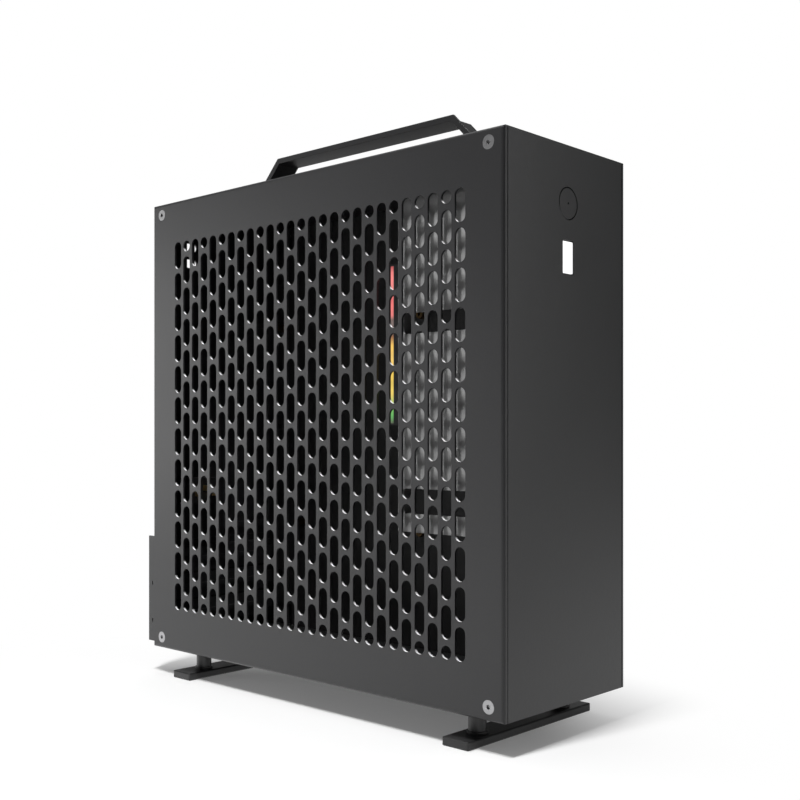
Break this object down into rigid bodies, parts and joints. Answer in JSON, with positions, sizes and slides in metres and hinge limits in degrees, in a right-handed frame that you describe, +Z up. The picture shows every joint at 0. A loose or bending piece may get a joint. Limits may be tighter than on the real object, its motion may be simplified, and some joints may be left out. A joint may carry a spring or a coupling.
{
  "type": "mini-itx computer case",
  "caption": "Slim upright computer case with slotted side panels, a folded carrying handle on top, bar feet, a flush power button and a small light window.",
  "frame": {"origin": "on the ground, under the middle of the outer box", "axes": "+Z up; the front face with the power button faces -Y; the board tray is on the +X side"},
  "size_m": [0.125, 0.3356, 0.3815],
  "materials": {
    "dark_paint": "fine satin powder coat, dark grey",
    "inner_paint": "satin powder coat, near black",
    "bracket_paint": "satin powder coat, mid grey",
    "cover_paint": "satin powder coat, black grey",
    "handle_paint": "satin powder coat, near black",
    "zinc_steel": "bright zinc plating",
    "screw_steel": "plain steel with turned heads",
    "black_screw": "black oxide",
    "black_rivet": "black oxide",
    "brass": "plain brass",
    "foot_black": "fine-grained matt black",
    "post_black": "satin black anodised look",
    "black_plastic": "moulded black, fine grain",
    "white_diffuser": "milky white, lit from behind",
    "circuit_green": "green solder mask",
    "lens_milky": "milky lens over coloured light"
  },
  "bodies": {
    "case": {"left_side_panel": "dark_paint", "right_side_panel": "dark_paint", "front_panel": "dark_paint", "rear_panel": "dark_paint", "top_panel": "dark_paint", "bottom_panel": "dark_paint", "panel_bosses": "zinc_steel", "panel_screws": "screw_steel", "mainboard_tray": "inner_paint", "board_standoffs": "brass", "tray_rivets": "black_rivet", "lid_rivets": "black_rivet", "handle": "handle_paint", "handle_screws": "black_screw", "handle_nuts": "zinc_steel", "front_foot_bar": "foot_black", "rear_foot_bar": "foot_black", "foot_posts": "post_black", "foot_screws": "black_screw", "foot_nuts": "zinc_steel", "slot_frame": "inner_paint", "slot_cover_1": "cover_paint", "slot_cover_2": "cover_paint", "slot_cover_3": "cover_paint", "slot_screws": "screw_steel", "power_inlet": "black_plastic", "inlet_pins": "brass", "inlet_screws": "black_screw", "button_ring": "black_plastic", "button_spring": "zinc_steel", "switch_strap": "inner_paint", "button_switch": "black_plastic", "button_nut": "zinc_steel", "light_window": "white_diffuser", "window_board": "circuit_green", "bay_bracket": "bracket_paint", "bracket_rivets": "black_rivet", "light_bar": "black_plastic", "light_lens": "lens_milky", "port_plate": "cover_paint"},
    "power_button": {"button_cap": "dark_paint"}
  },
  "joints": [
    {"name": "power_button_press", "type": "slide", "parent": "case", "child": "power_button", "axis": [0, 1, 0], "range_m": [0, 0.0015], "stiffness_N_per_m": 600, "springref_m": -0.001, "deforming": ["button_spring"]}
  ]
}
